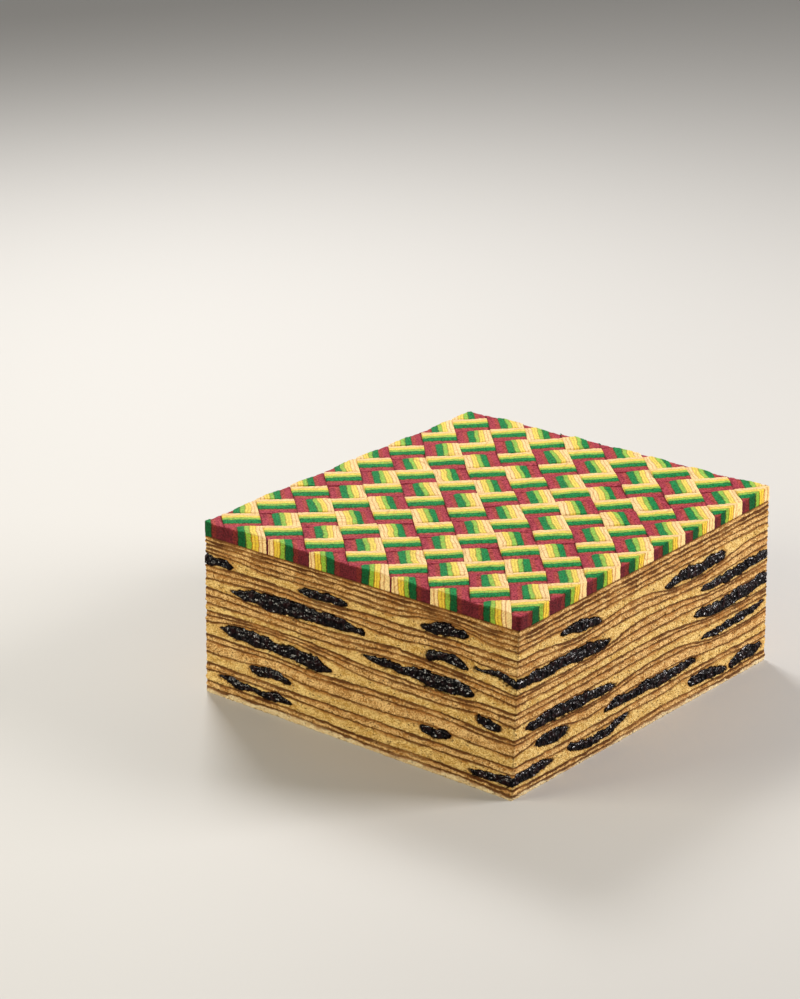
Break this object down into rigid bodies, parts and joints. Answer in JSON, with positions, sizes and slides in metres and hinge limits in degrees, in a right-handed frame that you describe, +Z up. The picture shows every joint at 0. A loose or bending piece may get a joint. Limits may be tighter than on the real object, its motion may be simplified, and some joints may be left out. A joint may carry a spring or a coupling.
{
  "type": "kue lapis layer cake",
  "caption": "Square kue lapis: a tall cake of thin golden grilled layers, with dark prunes in its cut sides and a woven top of striped red, green and yellow tiles",
  "frame": {"origin": "middle of the cake's foot, on the surface that it stands on", "axes": "+Z up; the picture shows the -Y side at its left and the +X side at its right"},
  "size_m": [0.1381, 0.1514, 0.0653],
  "materials": {
    "grilled_sponge": "fine golden sponge, cut and slightly crumbly, browned on the upper face of each layer",
    "pale_sponge": "paler yellow sponge, poured thicker round the prunes",
    "prune": "sticky near-black dried plum, wet and lumpy where it is cut",
    "striped_tiles": "fine sponge in red, green, light green, yellow and cream stripes, cut into small tiles"
  },
  "bodies": {
    "root": {"layer_01": "grilled_sponge", "layer_02": "grilled_sponge", "layer_03": "pale_sponge", "layer_04": "grilled_sponge", "layer_05": "pale_sponge", "layer_06": "grilled_sponge", "layer_07": "grilled_sponge", "layer_08": "pale_sponge", "layer_09": "grilled_sponge", "layer_10": "grilled_sponge", "layer_11": "pale_sponge", "layer_12": "grilled_sponge", "layer_13": "grilled_sponge", "layer_14": "pale_sponge", "layer_15": "grilled_sponge", "layer_16": "grilled_sponge", "layer_17": "pale_sponge", "layer_18": "grilled_sponge", "layer_19": "grilled_sponge", "layer_20": "grilled_sponge", "layer_21": "grilled_sponge", "prune_1a": "prune", "prune_1b": "prune", "prune_1c": "prune", "prune_1d": "prune", "prune_1e": "prune", "prune_1f": "prune", "prune_1g": "prune", "prune_2a": "prune", "prune_2b": "prune", "prune_2c": "prune", "prune_2d": "prune", "prune_2e": "prune", "prune_2f": "prune", "prune_3a": "prune", "prune_3b": "prune", "prune_3c": "prune", "prune_3d": "prune", "prune_4a": "prune", "prune_4b": "prune", "prune_4c": "prune", "prune_4d": "prune", "prune_4e": "prune", "prune_4f": "prune", "prune_5a": "prune", "prune_5b": "prune", "prune_5c": "prune", "prune_5d": "prune", "prune_5e": "prune", "prune_5f": "prune", "prune_6a": "prune", "prune_6b": "prune", "prune_6c": "prune", "prune_6d": "prune", "prune_6e": "prune", "prune_6f": "prune", "prune_6g": "prune", "woven_top": "striped_tiles"}
  },
  "joints": []
}
